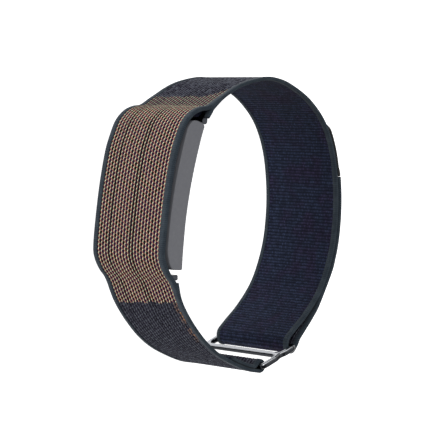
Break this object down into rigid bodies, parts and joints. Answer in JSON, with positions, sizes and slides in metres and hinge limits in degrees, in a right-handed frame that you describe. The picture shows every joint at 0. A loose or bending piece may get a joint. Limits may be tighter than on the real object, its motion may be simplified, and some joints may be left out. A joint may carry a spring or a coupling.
{
  "type": "fitness tracker band",
  "caption": "Knit wrist strap looped through a three-bar slider, with a hinged slide-out sensor pod under a patterned knit cover and a peel-off end tab.",
  "frame": {"origin": "centre of the bounding box in plan, at the lowest point of the slider's lower rail", "axes": "+Z along the wrist axis, +Y towards the loop's top above the pod, +X from the pod side towards the strap tail side; the loop lies on its side edge"},
  "size_m": [0.0566, 0.0676, 0.0266],
  "materials": {
    "strap_knit": "knit, ribbed on the wrist side",
    "cover_knit": "patterned knit",
    "plain_steel": "satin",
    "polished_metal": "polished",
    "pod_grey": "fine matte",
    "pod_black": "fine matte",
    "window_glass": "dark tinted",
    "board_green": "lacquered",
    "chip_black": "moulded",
    "lamp_clear": "clear domed",
    "cell_foil": "foil",
    "gold_metal": "plated",
    "soft_black": "soft",
    "tab_black": "smooth",
    "stitch_thread": "stitched"
  },
  "bodies": {
    "band": {"strap_upper": "strap_knit", "strap_lower": "strap_knit", "cover": "cover_knit", "top_link": "plain_steel", "catch_bar": "plain_steel", "loop_stitch_1": "stitch_thread", "loop_stitch_2": "stitch_thread"},
    "hinge_rail": {"pod_rail": "plain_steel"},
    "pod": {"pod_shell": "pod_grey", "pod_base": "pod_black", "sensor_window": "window_glass", "sensor_board": "board_green", "light_barrier": "soft_black", "lamp_1": "lamp_clear", "lamp_2": "lamp_clear", "lamp_3": "lamp_clear", "photodiode_1": "chip_black", "photodiode_2": "chip_black", "photodiode_3": "chip_black", "photodiode_4": "chip_black", "main_board": "board_green", "battery": "cell_foil", "processor": "chip_black", "memory_chip": "chip_black", "power_chip": "chip_black", "motion_chip": "chip_black", "radio_antenna": "gold_metal", "pod_magnet": "cell_foil", "screw_1": "plain_steel", "screw_2": "plain_steel", "screw_3": "plain_steel", "screw_4": "plain_steel", "charge_contact_1": "gold_metal", "charge_contact_2": "gold_metal", "temperature_plate": "plain_steel", "haptic_can": "cell_foil"},
    "buzzer_weight": {"haptic_weight": "gold_metal"},
    "slider": {"slider_frame": "polished_metal", "slider_fold": "strap_knit"},
    "tail": {"tail_strap": "strap_knit"},
    "tab": {"end_tab": "tab_black", "hook_patch": "tab_black"}
  },
  "joints": [
    {"name": "pod_swing", "type": "hinge", "parent": "band", "child": "hinge_rail", "pos_m": [-0.01428, 0.02397, 0.0133], "axis": [0, 0, 1], "range_deg": [0, 70]},
    {"name": "pod_slide", "type": "slide", "parent": "hinge_rail", "child": "pod", "axis": [0, 0, 1], "range_m": [0, 0.03]},
    {"name": "buzzer_spin", "type": "hinge", "parent": "pod", "child": "buzzer_weight", "pos_m": [-0.02233, 0.00904, 0.0101], "axis": [-0.9753, 0.2209, 0], "continuous": true},
    {"name": "slider_pivot", "type": "hinge", "parent": "band", "child": "slider", "pos_m": [0.00162, -0.03223, 0.0133], "axis": [0, 0, -1], "range_deg": [0, 12]},
    {"name": "tail_swing", "type": "hinge", "parent": "slider", "child": "tail", "pos_m": [0.01162, -0.02873, 0.0133], "axis": [0, 0, -1], "range_deg": [0, 45]},
    {"name": "tab_peel", "type": "hinge", "parent": "tail", "child": "tab", "pos_m": [0.02808, 0.01077, 0.0133], "axis": [0, 0, -1], "range_deg": [0, 80]}
  ]
}
